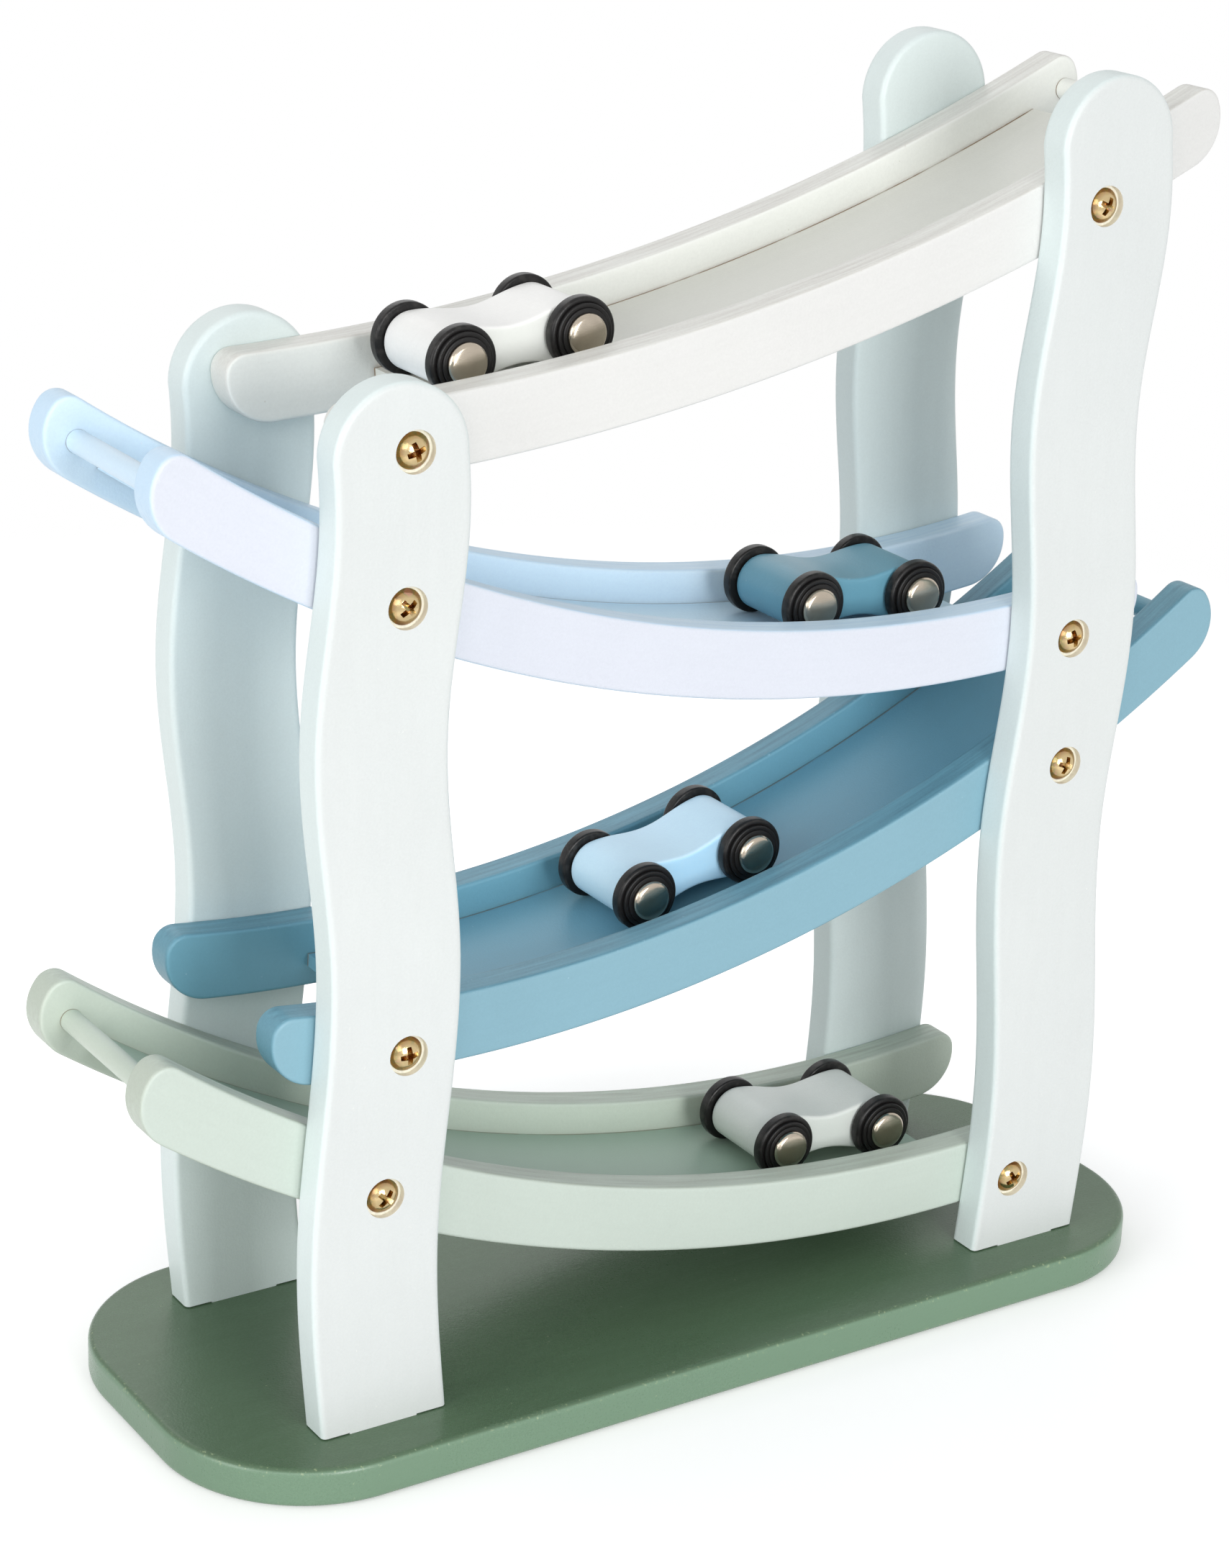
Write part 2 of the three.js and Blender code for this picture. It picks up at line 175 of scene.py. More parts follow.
def sand_edges(piece, axis, low, high, ease):
    """Smooths the shading, and marks the rounded edges as the place where paint wears."""
    smooth(piece, SHARP_EDGE)
    mesh = piece.data
    worn = mesh.attributes.new("edge", "FLOAT", "POINT")
    for vertex in mesh.vertices:
        level = vertex.co[axis] / MM
        depth = min(level - low, high - level)
        worn.data[vertex.index].value = 1.0 if CLOSE < depth < ease - CLOSE else 0.0


class Coat:
    """A socket in a finish's nodes. Sums on it add Math nodes, and node adds any other node."""

    def __init__(self, tree, socket=None):
        self.tree = tree
        self.socket = socket

    def node(self, kind, settings=None, feeds=None, out=0):
        made = self.tree.nodes.new(kind)
        for name, value in (settings or {}).items():
            if name == "stops":
                ramp = made.color_ramp.elements
                while len(ramp) < len(value):
                    ramp.new(0.5)
                for stop, (place, colour) in zip(ramp, value):
                    stop.position = place
                    stop.color = colour
            else:
                setattr(made, name, value)
        for name, value in (feeds or {}).items():
            if isinstance(value, Coat):
                self.tree.links.new(value.socket, made.inputs[name])
            else:
                made.inputs[name].default_value = value
        return Coat(self.tree, made.outputs[out] if len(made.outputs) else None)

    def sum(self, operation, *terms):
        return self.node("ShaderNodeMath", {"operation": operation}, dict(enumerate(terms)))

    def __add__(self, other):
        return self.sum("ADD", self, other)

    def __radd__(self, other):
        return self.sum("ADD", other, self)

    def __sub__(self, other):
        return self.sum("SUBTRACT", self, other)

    def __rsub__(self, other):
        return self.sum("SUBTRACT", other, self)

    def __mul__(self, other):
        return self.sum("MULTIPLY", self, other)

    def __truediv__(self, other):
        return self.sum("DIVIDE", self, other)

    def __abs__(self):
        return self.sum("ABSOLUTE", self)

    def kept(self):
        return self.node("ShaderNodeClamp", {}, {"Value": self})

    def blend(self, low, high):
        """A colour between two, with this value as the share of the second."""
        return self.node("ShaderNodeMix", {"data_type": "RGBA"}, {0: self, 6: low, 7: high}, 2)

    def noise(self, scale, detail, vector):
        feeds = {"Vector": vector, "Scale": scale, "Detail": detail, "Roughness": 0.55}
        return self.node("ShaderNodeTexNoise", {}, feeds)

    def grain(self, along, vector):
        """A noise drawn out by a scale for each axis."""
        return self.noise(1, 4, self.node("ShaderNodeMapping", {}, {"Vector": vector, "Scale": along}))

    def relief(self, strength, distance):
        """This value as the height of a fine relief, by a distance in millimetres."""
        feeds = {"Strength": strength, "Distance": distance * MM, "Height": self}
        return self.node("ShaderNodeBump", {}, feeds)


def mixed(colour, lift=1.0):
    """A colour of 0 to 255 as Blender counts it, made lighter or darker by the lift."""
    parts = [c / 255 for c in colour]
    parts = [c / 12.92 if c <= 0.04045 else ((c + 0.055) / 1.055) ** 2.4 for c in parts]
    return (*[min(c * lift, 1) for c in parts], 1)


def new_finish(name):
    """An empty finish, a Coat to add its nodes, and the place on the piece as a socket."""
    finish = bpy.data.materials.new(name)
    finish.use_nodes = True
    finish.node_tree.nodes.clear()
    coat = Coat(finish.node_tree)
    return finish, coat, coat.node("ShaderNodeTexCoord", {}, {}, "Object")


def end_finish(coat, feeds):
    surface = coat.node("ShaderNodeBsdfPrincipled", {}, feeds)
    coat.node("ShaderNodeOutputMaterial", {}, {"Surface": surface})


def sprayed_paint(name, colour, worn, gloss, along, wear=0.0, bend=None, front_light_split=None, sawn_edges_and_shaded_sides=None,
                  shaded_top=None, seam=None):
    """Satin paint on sanded board: soft clouds, a fine sprayed skin, faint grain and rubbed edges.
    bend is the track that the grain follows. The front split gives the colour behind a front face and
    where that face stands; the front face keeps the first colour, a washed-out copy of the paint that
    is painted light for the strong front light. The sawn-edge and shaded-side entry gives the colour,
    share and streaks of a bent strip's sawn edges, which show grain through the paint, and of a
    block's sides, which are painted shade. The shaded-top entry gives the same for faces that look up,
    as painted shade, and seam the reach and strength of a brown line of glue."""
    finish, coat, place = new_finish(name)
    x, y, z = [coat.node("ShaderNodeSeparateXYZ", {}, {"Vector": place}, axis) for axis in "XYZ"]
    lie = place
    if bend:
        aside = x - bend["x"] * MM
        below = (bend["z"] + bend["radius"]) * MM - z
        run = coat.sum("ARCTAN2", aside, below) * (bend["radius"] * MM)
        reach = coat.sum("SQRT", aside * aside + below * below)
        lie = coat.node("ShaderNodeCombineXYZ", {}, {"X": run, "Y": y, "Z": reach})
    clouds = coat.noise(CLOUD_SCALE, 3, place)
    spray = coat.noise(SPRAY_SCALE, 2, place)
    grain = coat.grain(along, lie)
    edge = coat.node("ShaderNodeAttribute", {"attribute_name": "edge"}, {}, "Fac")
    rubbed = (edge * ((coat.noise(RUB_SCALE, 4, place) - RUB_START + wear) * 9)).kept()
    specks = ((coat.noise(SPECK_SCALE, 1, place) - SPECK_START + wear * 0.2) * 16).kept()
    tone = (0.5 + (clouds - 0.5) * 0.8 + (spray - 0.5) * 0.8 + (grain - 0.5) * 0.4).kept()
    body = tone.blend(*[mixed(colour, lift) for lift in TONE_LIFTS])
    # Painted light: the front face keeps the first colour, a washed-out copy of the paint for the
    # strong front light, and all behind it takes the colour given for there.
    if front_light_split:
        inside = ((front_light_split[1] * MM + y) / (FACE_EDGE * MM)).kept()
        body = inside.blend(body, tone.blend(*[mixed(front_light_split[0], lift) for lift in TONE_LIFTS]))
    if sawn_edges_and_shaded_sides or shaded_top:
        normal = coat.node("ShaderNodeNewGeometry", {}, {}, "Normal")
        turns = [coat.node("ShaderNodeSeparateXYZ", {}, {"Vector": normal}, axis) for axis in "XYZ"]
        lean, facing, rise = turns
        shade, share, streaks = sawn_edges_and_shaded_sides or shaded_top
        dust = 0.5
        # Painted shade: faces that look up take a darker colour of their own.
        if shaded_top:
            mask = ((rise - SHADED_TOP_RISE) * FACE_STEEPNESS).kept()
        elif bend:
            mask = ((STRIP_FACING - abs(facing)) * FACE_STEEPNESS).kept()
            length = abs(lean * aside - rise * below) / reach
            streaks = length * length * streaks
        else:
            # Painted shade: a block's sides take a colour of their own, darker than the top on most
            # cars.
            mask = ((abs(facing) - SHADED_SIDE_FACING) * FACE_STEEPNESS).kept()
            dust = 0.3
        streaked = (share + (grain - 0.5) * streaks + (spray - 0.5) * dust).kept()
        body = (mask * streaked).blend(body, mixed(shade))
    body = (specks * 0.4).blend(body, mixed(worn))
    body = (rubbed * 0.5).blend(body, mixed(worn))
    height = spray * 0.6 + grain * 0.15 + clouds * 0.8 + specks * 0.5 - rubbed * 0.3
    if seam:
        near = ((abs(y) - seam[0] * MM) / (GLUE_EDGE * MM)).kept()
        broken = ((coat.noise(GLUE_SCALE, 3, place) - GLUE_START) * 6).kept()
        glue = near * broken
        body = (glue * seam[1]).blend(body, mixed(GLUE_BROWN))
        height = height - glue * 0.6
    bump = height.relief(0.28, 0.3)
    rough = gloss + (clouds - 0.5) * 0.14 + (spray - 0.5) * 0.1 - rubbed * 0.06
    feeds = {"Base Color": body, "Roughness": rough, "Normal": bump, "Specular IOR Level": 0.4}
    end_finish(coat, feeds)
    return finish


def set_up(piece, finish, body, slot, *nodes):
    """Paints a piece, ties it to its body and hides the CAD nodes that it stands for; slot is not
    used.
    """
    piece.data.materials.append(finish)
    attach(piece, body)
    if nodes:
        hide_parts(*nodes)


def box_form(form, width, depth, x, y, low, high):
    """Adds a box about x and y to a form, from low to high."""
    corners = [(-1, -1), (1, -1), (1, 1), (-1, 1)]
    plan = [(x + a * width / 2, y + b * depth / 2) for a, b in corners]
    skin(form, [[(px, py, low) for px, py in plan], [(px, py, high) for px, py in plan]])


corner_x = BASE_LENGTH / 2 - BASE_CORNER
corner_y = BASE_WIDTH / 2 - BASE_CORNER
plan = arc(corner_x, corner_y, BASE_CORNER, 0, 90, 36)
plan += arc(-corner_x, corner_y, BASE_CORNER, 90, 180, 36)
plan += arc(-corner_x, -corner_y, BASE_CORNER, 180, 270, 36)
plan += arc(corner_x, -corner_y, BASE_CORNER, 270, 360, 36)
base = eased_board("base_board", plan, 0, BASE_THICKNESS, BASE_EASE, lying)
mortises = bmesh.new()
for x in POST_XS.values():
    for side in SIDES.values():
        box_form(mortises, *MORTISE, x, side * POST_MIDDLE_Y, MORTISE_FOOT, BASE_THICKNESS + 1)
carve(base, mortises)
sand_edges(base, 2, 0, BASE_THICKNESS, BASE_EASE)
# Painted shade: the top of the board is darker than its edges.
shaded_top = (SAGE_SHADED_TOP, SHADED_TOP_SHARE, SHADED_TOP_STREAKS)
sage = sprayed_paint("sage_paint", SAGE, SAGE_WORN, SAGE_GLOSS, SAGE_GRAIN, SAGE_WEAR, shaded_top=shaded_top)
set_up(base, sage, "stand", "base_paint", "base")


# Posts
# Four uprights sawn from 8 mm board with wavy edges and round tops, a short pair and a tall pair,
# each with a tenon sawn square at its foot and glued in the base. They are sprayed pale mint, and
# the stepped screw holes are bored after painting, so bare wood shows round the screw heads.
POST_WIDTH = 30.4
POST_THICKNESS = 8.4
POST_EASE = 1.2
POST_HEIGHTS = {"left": 230, "right": 279}
POST_SWINGS = {"left": 2.1, "right": -2.1}
WAVE_CRESTS = [-29, 39, 102, 154, 203, 248, 289]
SHOULDER_GAP = 0.3
TENON = (16.4, 6)
POST_FACE_Y = 37.1
COUNTERBORE = (9.0, 1.6)
CLEARANCE_HOLE = 4.1
DRILL_OUT = 3
DRILL_DEPTH = 12
RAIL_HEIGHT = 15.6
TRACKS = {
    1: {"up": 1, "radius": 543, "x": -107.2, "z": 232, "ends": (12.2, 238.3), "screws": (4.1, -1.8)},
    2: {"up": -1, "radius": 335, "x": 61.8, "z": 168.2, "ends": (-52.5, 205.5), "screws": (2.9, -0.7)},
    3: {"up": 1, "radius": 335, "x": -63.1, "z": 102.6, "ends": (-46, 210.6), "screws": (4.8, 0)},
    4: {"up": -1, "radius": 335, "x": 68.6, "z": 33.8, "ends": (-42, 218), "screws": (-0.3, -5.3)},
}
# Painted light: the front faces of the front posts take the first of these colours, a washed-out copy
# of the paint for the strong front light, and all else the second.
MINT = (212, 216, 215)
MINT_INSIDE = (222, 233, 232)
MINT_WORN = (238, 238, 234)
MINT_GLOSS = 0.44
MINT_GRAIN = (420, 420, 60)
BARE_WOOD = (249, 244, 228)
WOOD_GRAIN = (1400, 1400, 240)


def stretch(start, end, steps):
    return [start + (end - start) * i / steps for i in range(steps + 1)]


def on_track(track, run, drop):
    """A point of a bent strip, by its run along the rail tops and its drop below them."""
    angle = run / track["radius"]
    reach = track["radius"] + drop
    x = track["x"] + track["up"] * reach * math.sin(angle)
    return (x, track["z"] + track["radius"] - reach * math.cos(angle))


def screw_point(track, which):
    """Where a screw crosses the middle of a track's rails, through the left or right post."""
    x = POST_XS[which] + track["screws"][0 if which == "left" else 1]
    reach = track["radius"] + RAIL_HEIGHT / 2
    angle = math.asin(track["up"] * (x - track["x"]) / reach)
    return on_track(track, angle * track["radius"], RAIL_HEIGHT / 2)


def wave(height, swing):
    """How far a post's wavy edges swing aside at a height."""
    above = next(i for i, crest in enumerate(WAVE_CRESTS) if crest > height)
    start, end = WAVE_CRESTS[above - 1], WAVE_CRESTS[above]
    side = 1 if above % 2 else -1
    return side * swing * math.cos(math.pi * (height - start) / (end - start))


def post_outline(which):
    half = POST_WIDTH / 2
    x, swing = POST_XS[which], POST_SWINGS[which]
    crown = POST_HEIGHTS[which] - half
    top = BASE_THICKNESS
    heights = stretch(-TENON[1], crown, 98)[:-1]
    outline = [(x + wave(h, swing) + half, top + h) for h in heights]
    outline += arc(x + wave(crown, swing), top + crown, half, 0, 180, 44)
    outline += [(x + wave(h, swing) - half, top + h) for h in reversed(heights)]
    return outline


def upright(x, z, level):
    return (x, level, z)


def turn(form, profile, x, z, y, way, steps=48, closed=False):
    """A turned form about a line along y, from a profile of radius and distance from y."""
    rings = []
    for radius, along in profile:
        if radius == 0:
            rings.append([form.verts.new(Vector((x, y + way * along, z)) * MM)])
            continue
        around = arc(x, z, radius, 0, 360 * (steps - 1) / steps, steps - 1)
        rings.append([form.verts.new(Vector((px, y + way * along, pz)) * MM) for px, pz in around])
    pairs = list(zip(rings, rings[1:]))
    if closed:
        pairs.append((rings[-1], rings[0]))
    for low, high in pairs:
        for i in range(steps):
            j = (i + 1) % steps
            corners = [low[i % len(low)], low[j % len(low)]]
            corners += [high[j % len(high)], high[i % len(high)]]
            form.faces.new(list(dict.fromkeys(corners)))


front_light_split = (MINT_INSIDE, POST_FACE_Y)
mint = sprayed_paint("mint_paint", MINT, MINT_WORN, MINT_GLOSS, MINT_GRAIN, front_light_split=front_light_split)

bare_wood, coat, place = new_finish("bare_wood")
fibres = coat.grain(WOOD_GRAIN, place)
tan = fibres.blend(mixed(BARE_WOOD, 0.72), mixed(BARE_WOOD, 1.12))
bump = fibres.relief(0.4, 0.2)
rough = 0.62 + fibres * 0.2
feeds = {"Base Color": tan, "Roughness": rough, "Normal": bump, "Specular IOR Level": 0.3}
end_finish(coat, feeds)

for side_name, side in SIDES.items():
    for which in POST_XS:
        name = f"{side_name}_{which}_post"
        low = side * POST_MIDDLE_Y - POST_THICKNESS / 2
        high = side * POST_MIDDLE_Y + POST_THICKNESS / 2
        post = eased_board(f"{name}_board", post_outline(which), low, high, POST_EASE, upright)
        holes = bmesh.new()
        points = [screw_point(track, which) for track in TRACKS.values()]
        bore = COUNTERBORE[0] / 2
        hole = CLEARANCE_HOLE / 2
        step = -COUNTERBORE[1]
        stepped = [(0, DRILL_OUT), (bore, DRILL_OUT), (bore, step)]
        stepped += [(hole, step), (hole, -DRILL_DEPTH), (0, -DRILL_DEPTH)]
        for x, z in points:
            turn(holes, stepped, x, z, side * POST_FACE_Y, side)
        below, shoulder = -TENON[1], BASE_THICKNESS + SHOULDER_GAP
        for way in (-1, 1):
            x = POST_XS[which] + way * (TENON[0] + POST_WIDTH) / 2
            box_form(holes, POST_WIDTH, 2 * POST_THICKNESS, x, side * POST_MIDDLE_Y, below, shoulder)
        carve(post, holes)
        sand_edges(post, 1, low, high, POST_EASE)
        set_up(post, mint, "stand", "post_paint", name)
        post.data.materials.append(bare_wood)
        for face in post.data.polygons:
            x, y, z = face.center / MM
            near = min(math.hypot(x - px, z - pz) for px, pz in points)
            if near < bore + CLOSE and abs(y) < POST_FACE_Y - CLOSE:
                face.material_index = 1


# Rails
# Each track has two side rails sawn from 8 mm board along an arc, with small rounds above and large
# ones below at both ends. They are sprayed before assembly, each track in a colour of its own, and
# hang between the posts on screws.
LANE_EDGE = 20.8
RAIL_THICKNESS = 7.9
RAIL_EASE = 0.8
RAIL_TOP_ROUND = 4.5
RAIL_TOE_ROUND = 10.8
DOWEL_INSETS = {1: 5, 2: 8.5, 3: 8, 4: 8.3}
DOWEL_SOCKET = (5.06, 3.2)
PILOT_DEPTH = 4.5
PILOT_OUT = 2
TRACK_GLOSS = 0.42
TRACK_GRAIN = (50, 900, 900)
TRACK_WEAR = 0.02
SAWN_SHARE = 0.5
# Painted light: the front face of each track takes the first of these colours, a washed-out copy of
# its paint for the strong front light, and the faces behind it take the second.
TRACK_FRONT_LIGHT_COLOURS = {1: (218, 218, 216), 2: (211, 215, 225), 3: (130, 170, 185), 4: (194, 205, 196)}
LANE_COLOURS = {1: (239, 241, 236), 2: (214, 236, 255), 3: (112, 164, 183), 4: (200, 211, 198)}
SAWN_COLOURS = {1: (203, 200, 194), 2: (192, 220, 244), 3: (89, 134, 151), 4: (174, 182, 169)}
SAWN_STREAKS = {1: 1.5, 2: 2.2, 3: 2.2, 4: 2.2}
TRACK_WORN = {1: (208, 202, 190), 2: (228, 238, 250), 3: (168, 200, 214), 4: (222, 224, 212)}


def rail_outline(track):
    low, high = track["ends"]
    top, toe = RAIL_TOP_ROUND, RAIL_TOE_ROUND
    foot = RAIL_HEIGHT - toe
    path = [(run, 0) for run in stretch(low + top, high - top, 90)[1:-1]]
    path += arc(high - top, top, top, -90, 0, 9)
    path += arc(high - toe, foot, toe, 0, 90, 16)
    path += [(run, RAIL_HEIGHT) for run in stretch(high - toe, low + toe, 90)[1:-1]]
    path += arc(low + toe, foot, toe, 90, 180, 16)
    path += arc(low + top, top, top, 180, 270, 9)
    outline = [on_track(track, run, drop) for run, drop in path]
    return outline[::-1] if track["up"] > 0 else outline


for number, track in TRACKS.items():
    colour, worn = TRACK_FRONT_LIGHT_COLOURS[number], TRACK_WORN[number]
    sawn_edges_and_shaded_sides = (SAWN_COLOURS[number], SAWN_SHARE, SAWN_STREAKS[number])
    front_light_split = (LANE_COLOURS[number], LANE_EDGE + RAIL_THICKNESS)
    paint = sprayed_paint(f"track_{number}_paint", colour, worn, TRACK_GLOSS, TRACK_GRAIN, TRACK_WEAR,
                          track, front_light_split, sawn_edges_and_shaded_sides)
    dowel_x, dowel_z = on_track(track, track["ends"][1] - DOWEL_INSETS[number], RAIL_HEIGHT / 2)
    for side_name, side in SIDES.items():
        name = f"track_{number}_{side_name}_rail"
        inner, outer = side * LANE_EDGE, side * (LANE_EDGE + RAIL_THICKNESS)
        low, high = min(inner, outer), max(inner, outer)
        rail = eased_board(f"{name}_strip", rail_outline(track), low, high, RAIL_EASE, upright)
        holes = bmesh.new()
        radius, depth = DOWEL_SOCKET[0] / 2, DOWEL_SOCKET[1]
        socket = [(0, -PILOT_OUT), (radius, -PILOT_OUT), (radius, depth), (0, depth)]
        turn(holes, socket, dowel_x, dowel_z, inner, side, 32)
        hole = CLEARANCE_HOLE / 2
        pilot = [(0, PILOT_OUT), (hole, PILOT_OUT), (hole, -PILOT_DEPTH), (0, -PILOT_DEPTH)]
        for which in POST_XS:
            turn(holes, pilot, *screw_point(track, which), outer, side, 24)
        carve(rail, holes)
        sand_edges(rail, 1, low, high, RAIL_EASE)
        set_up(rail, paint, "stand", f"track_{number}_paint", name)


# Track floors
# A 3 mm strip bent to the same arc and glued between each pair of rails. Its ends stop short of the
# rail ends, so a car drops through to the next track, and a line of glue shows brown at the seam.
FLOOR_DROP = 7.7
FLOOR_THICKNESS = 3
FLOOR_LOW_GAP = 34
FLOOR_HIGH_GAP = 15
FLOOR_EASE = 0.3
FLOOR_COLOURS = {1: (223, 224, 217), 2: (211, 236, 255), 3: (113, 162, 181), 4: (169, 190, 174)}
FLOOR_GLOSS = 0.4
FLOOR_GRAIN = (40, 420, 420)
SEAM_START = 20.05
SEAM_STRENGTHS = {1: 0.95, 2: 0.5, 3: 0.6, 4: 0.5}

for number, track in TRACKS.items():
    start = track["ends"][0] + FLOOR_LOW_GAP
    end = track["ends"][1] - FLOOR_HIGH_GAP
    outline = [on_track(track, run, FLOOR_DROP) for run in stretch(start, end, 90)]
    outline += [on_track(track, run, FLOOR_DROP + FLOOR_THICKNESS) for run in stretch(end, start, 90)]
    if track["up"] > 0:
        outline.reverse()
    name = f"track_{number}_floor"
    strip = eased_board(f"{name}_strip", outline, -LANE_EDGE, LANE_EDGE, FLOOR_EASE, upright)
    sand_edges(strip, 1, -LANE_EDGE, LANE_EDGE, FLOOR_EASE)
    colour, worn = FLOOR_COLOURS[number], TRACK_WORN[number]
    seam = (SEAM_START, SEAM_STRENGTHS[number])
    paint = sprayed_paint(f"{name}_paint", colour, worn, FLOOR_GLOSS, FLOOR_GRAIN,
                          bend=track, seam=seam)
    set_up(strip, paint, "stand", f"track_{number}_paint", name)


# Stop dowels
# A turned stick, 5 mm across, is glued in blind sockets across the high end of each track. It keeps
# a car from rolling back off, and is painted with its track.
DOWEL_DIAMETER = 5
DOWEL_SEAT = 3
DOWEL_CHAMFER = 0.4
DOWEL_RUB = 0.3
DOWEL_GRAIN = (420, 60, 420)
DOWEL_SEAM = (20.5, 0.8)

for number, track in TRACKS.items():
    x, z = on_track(track, track["ends"][1] - DOWEL_INSETS[number], RAIL_HEIGHT / 2)
    reach = LANE_EDGE + DOWEL_SEAT
    radius = DOWEL_DIAMETER / 2
    form = bmesh.new()
    ends = [(0, -reach), (radius - DOWEL_CHAMFER, -reach), (radius, DOWEL_CHAMFER - reach)]
    middle = [(radius, along) for along in stretch(1 - reach, reach - 1, 8)]
    profile = ends + middle + [(r, -along) for r, along in reversed(ends)]
    turn(form, profile, x, z, 0, 1)
    stick = piece_from(f"track_{number}_dowel_stick", form)
    sand_edges(stick, 1, -reach, reach, DOWEL_RUB)
    colour, worn = LANE_COLOURS[number], TRACK_WORN[number]
    paint = sprayed_paint(f"track_{number}_dowel_paint", colour, worn, TRACK_GLOSS, DOWEL_GRAIN,
                          seam=DOWEL_SEAM)
    set_up(stick, paint, "stand", f"track_{number}_paint", f"track_{number}_dowel")


# Screws
# Pan head steel screws, yellow zinc plated with a cross recess, sit in the stepped holes and hold
# the posts to the rails. The front ones stand for the CAD screws, and the back ones mirror them.
HEAD_DIAMETER = 7.7
HEAD_HEIGHT = 2.3
HEAD_RIM = 0.25
HEAD_ROUND = 0.2
SHANK = (3.6, 11)
RECESS = (2.35, 0.62, 1.75)
RECESS_FLARE = 1.08
RECESS_FOOT = 0.5
RECESS_OUT = 0.2
RECESS_BAND = 0.1
SCREW_TURNS = {1: (20, 62), 2: (40, 15), 3: (5, 70), 4: (50, 28)}
ZINC = (206, 183, 138)
# The plate's own brown, pink and green tints, laid on as painted reflection as well: the head turns to
# them towards its rim, as if it mirrored darker things there.
TARNISH_AND_REFLECTION = {
    0.32: (128, 92, 58),
    0.43: (164, 122, 84),
    0.51: (176, 142, 86),
    0.59: (142, 136, 94),
    0.69: (186, 142, 118),
}
STAIN_AND_REFLECTION_SCALE = 420
TICK_SCALE = 2600

yellow_zinc, coat, place = new_finish("yellow_zinc")
stain_and_reflection = coat.noise(STAIN_AND_REFLECTION_SCALE, 3, place)
ticks = coat.noise(TICK_SCALE, 3, place)
rim = coat.node("ShaderNodeAttribute", {"attribute_name": "rim"}, {}, "Fac")
stops = [(share, mixed(colour)) for share, colour in TARNISH_AND_REFLECTION.items()]
tarnish_and_reflection = coat.node("ShaderNodeValToRGB", {"stops": stops}, {"Fac": stain_and_reflection})
bright = stain_and_reflection.blend(mixed(ZINC, 0.85), mixed(ZINC, 1.15))
# Pale zinc at the middle of the head and the darker tints towards its rim, as painted reflection, and
# all through the cross recess.
gilt = ((rim - 0.6) * 3.6 + (stain_and_reflection - 0.5) * 1.4).kept().blend(bright, tarnish_and_reflection)
bump = (ticks + stain_and_reflection).relief(0.25, 0.1)
feeds = {"Base Color": gilt, "Metallic": 1.0, "Roughness": 0.07 + ticks * 0.14, "Normal": bump}
end_finish(coat, feeds)

for number, track in TRACKS.items():
    for turned, which in zip(SCREW_TURNS[number], POST_XS):
        for side_name, side in SIDES.items():
            x, z = screw_point(track, which)
            seat = side * (POST_FACE_Y - COUNTERBORE[1])
            head, rise = HEAD_DIAMETER / 2, HEAD_HEIGHT - HEAD_RIM
            shank, depth = SHANK[0] / 2, SHANK[1]
            profile = [(0, -depth), (shank, shank - depth), (shank, 0)]
            profile += [(head - HEAD_ROUND, 0), (head, HEAD_ROUND)]
            ball = (head * head + rise * rise) / (2 * rise)
            for a in stretch(math.asin(head / ball), 0, 12)[:-1]:
                profile.append((ball * math.sin(a), HEAD_HEIGHT - ball * (1 - math.cos(a))))
            profile.append((0, HEAD_HEIGHT))
            form = bmesh.new()
            turn(form, profile, x, z, seat, side)
            screw = piece_from(f"{side_name}_screw_{number}_{which}_head", form)
            arm, thick, deep = RECESS
            rings = []
            foot = HEAD_HEIGHT - deep
            for level, share in ((HEAD_HEIGHT + RECESS_OUT, RECESS_FLARE), (foot, RECESS_FOOT)):
                arms = [(arm, -thick), (arm, thick), (thick, thick), (thick, arm)]
                arms += [(-thick, arm), (-thick, thick)]
                arms += [(-a, -b) for a, b in arms]
                spin = math.radians(turned + (90 if side > 0 else 0))
                ring = []
                for a, b in arms:
                    px = x + share * (a * math.cos(spin) - b * math.sin(spin))
                    pz = z + share * (a * math.sin(spin) + b * math.cos(spin))
                    ring.append((px, seat + side * level, pz))
                rings.append(ring)
            recess = bmesh.new()
            skin(recess, rings)
            carve(screw, recess)
            smooth(screw, SHARP_EDGE)
            mesh = screw.data
            # How far each point lies out towards the rim, where the painted reflection darkens the
            # head, with the cross recess set to the full darker tints.
            worn = mesh.attributes.new("rim", "FLOAT", "POINT")
            for vertex in mesh.vertices:
                out = math.hypot(vertex.co.x / MM - x, vertex.co.z / MM - z)
                sunk = out < arm and side * (vertex.co.y / MM - seat) < foot + RECESS_BAND
                worn.data[vertex.index].value = 1.0 if sunk else out / head
            nodes = [f"front_screw_{number}_{which}"] if side < 0 else []
            set_up(screw, yellow_zinc, "stand", "yellow_zinc", *nodes)


# Car bodies
# Small wooden blocks with round ends about the axles and a hollowed waist above and below, sawn
# across a long moulding, eased and sprayed. Two cross bores take the axles.
BODY_WIDTH = 19.4
BODY_END = 6.3
BODY_WAIST = 8.6
BODY_EASE = 0.8
WHEELBASE = 28.7
AXLE_BORE = 3.2
BORE_REACH = 12
CAR_GLOSS = 0.36
CAR_GRAIN = (240, 500, 240)
SHADED_SIDE_SHARE = 0.8
SHADED_SIDE_STREAKS = 0.4
CAR_COLOURS = {1: (246, 246, 244), 2: (104, 157, 178), 3: (209, 237, 255), 4: (225, 228, 223)}
# Painted shade: each car's sides take these colours, darker than its top on most cars.
SHADED_SIDE_COLOURS = {1: (233, 236, 231), 2: (104, 158, 178), 3: (178, 226, 255), 4: (222, 228, 223)}
CAR_WORN = {1: (236, 234, 228), 2: (150, 188, 204), 3: (220, 236, 250), 4: (228, 230, 226)}


def middle_of(node):
    """The middle of a CAD node's box, in millimetres."""
    low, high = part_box(node)
    return (Vector(low) + Vector(high)) / 2 / MM


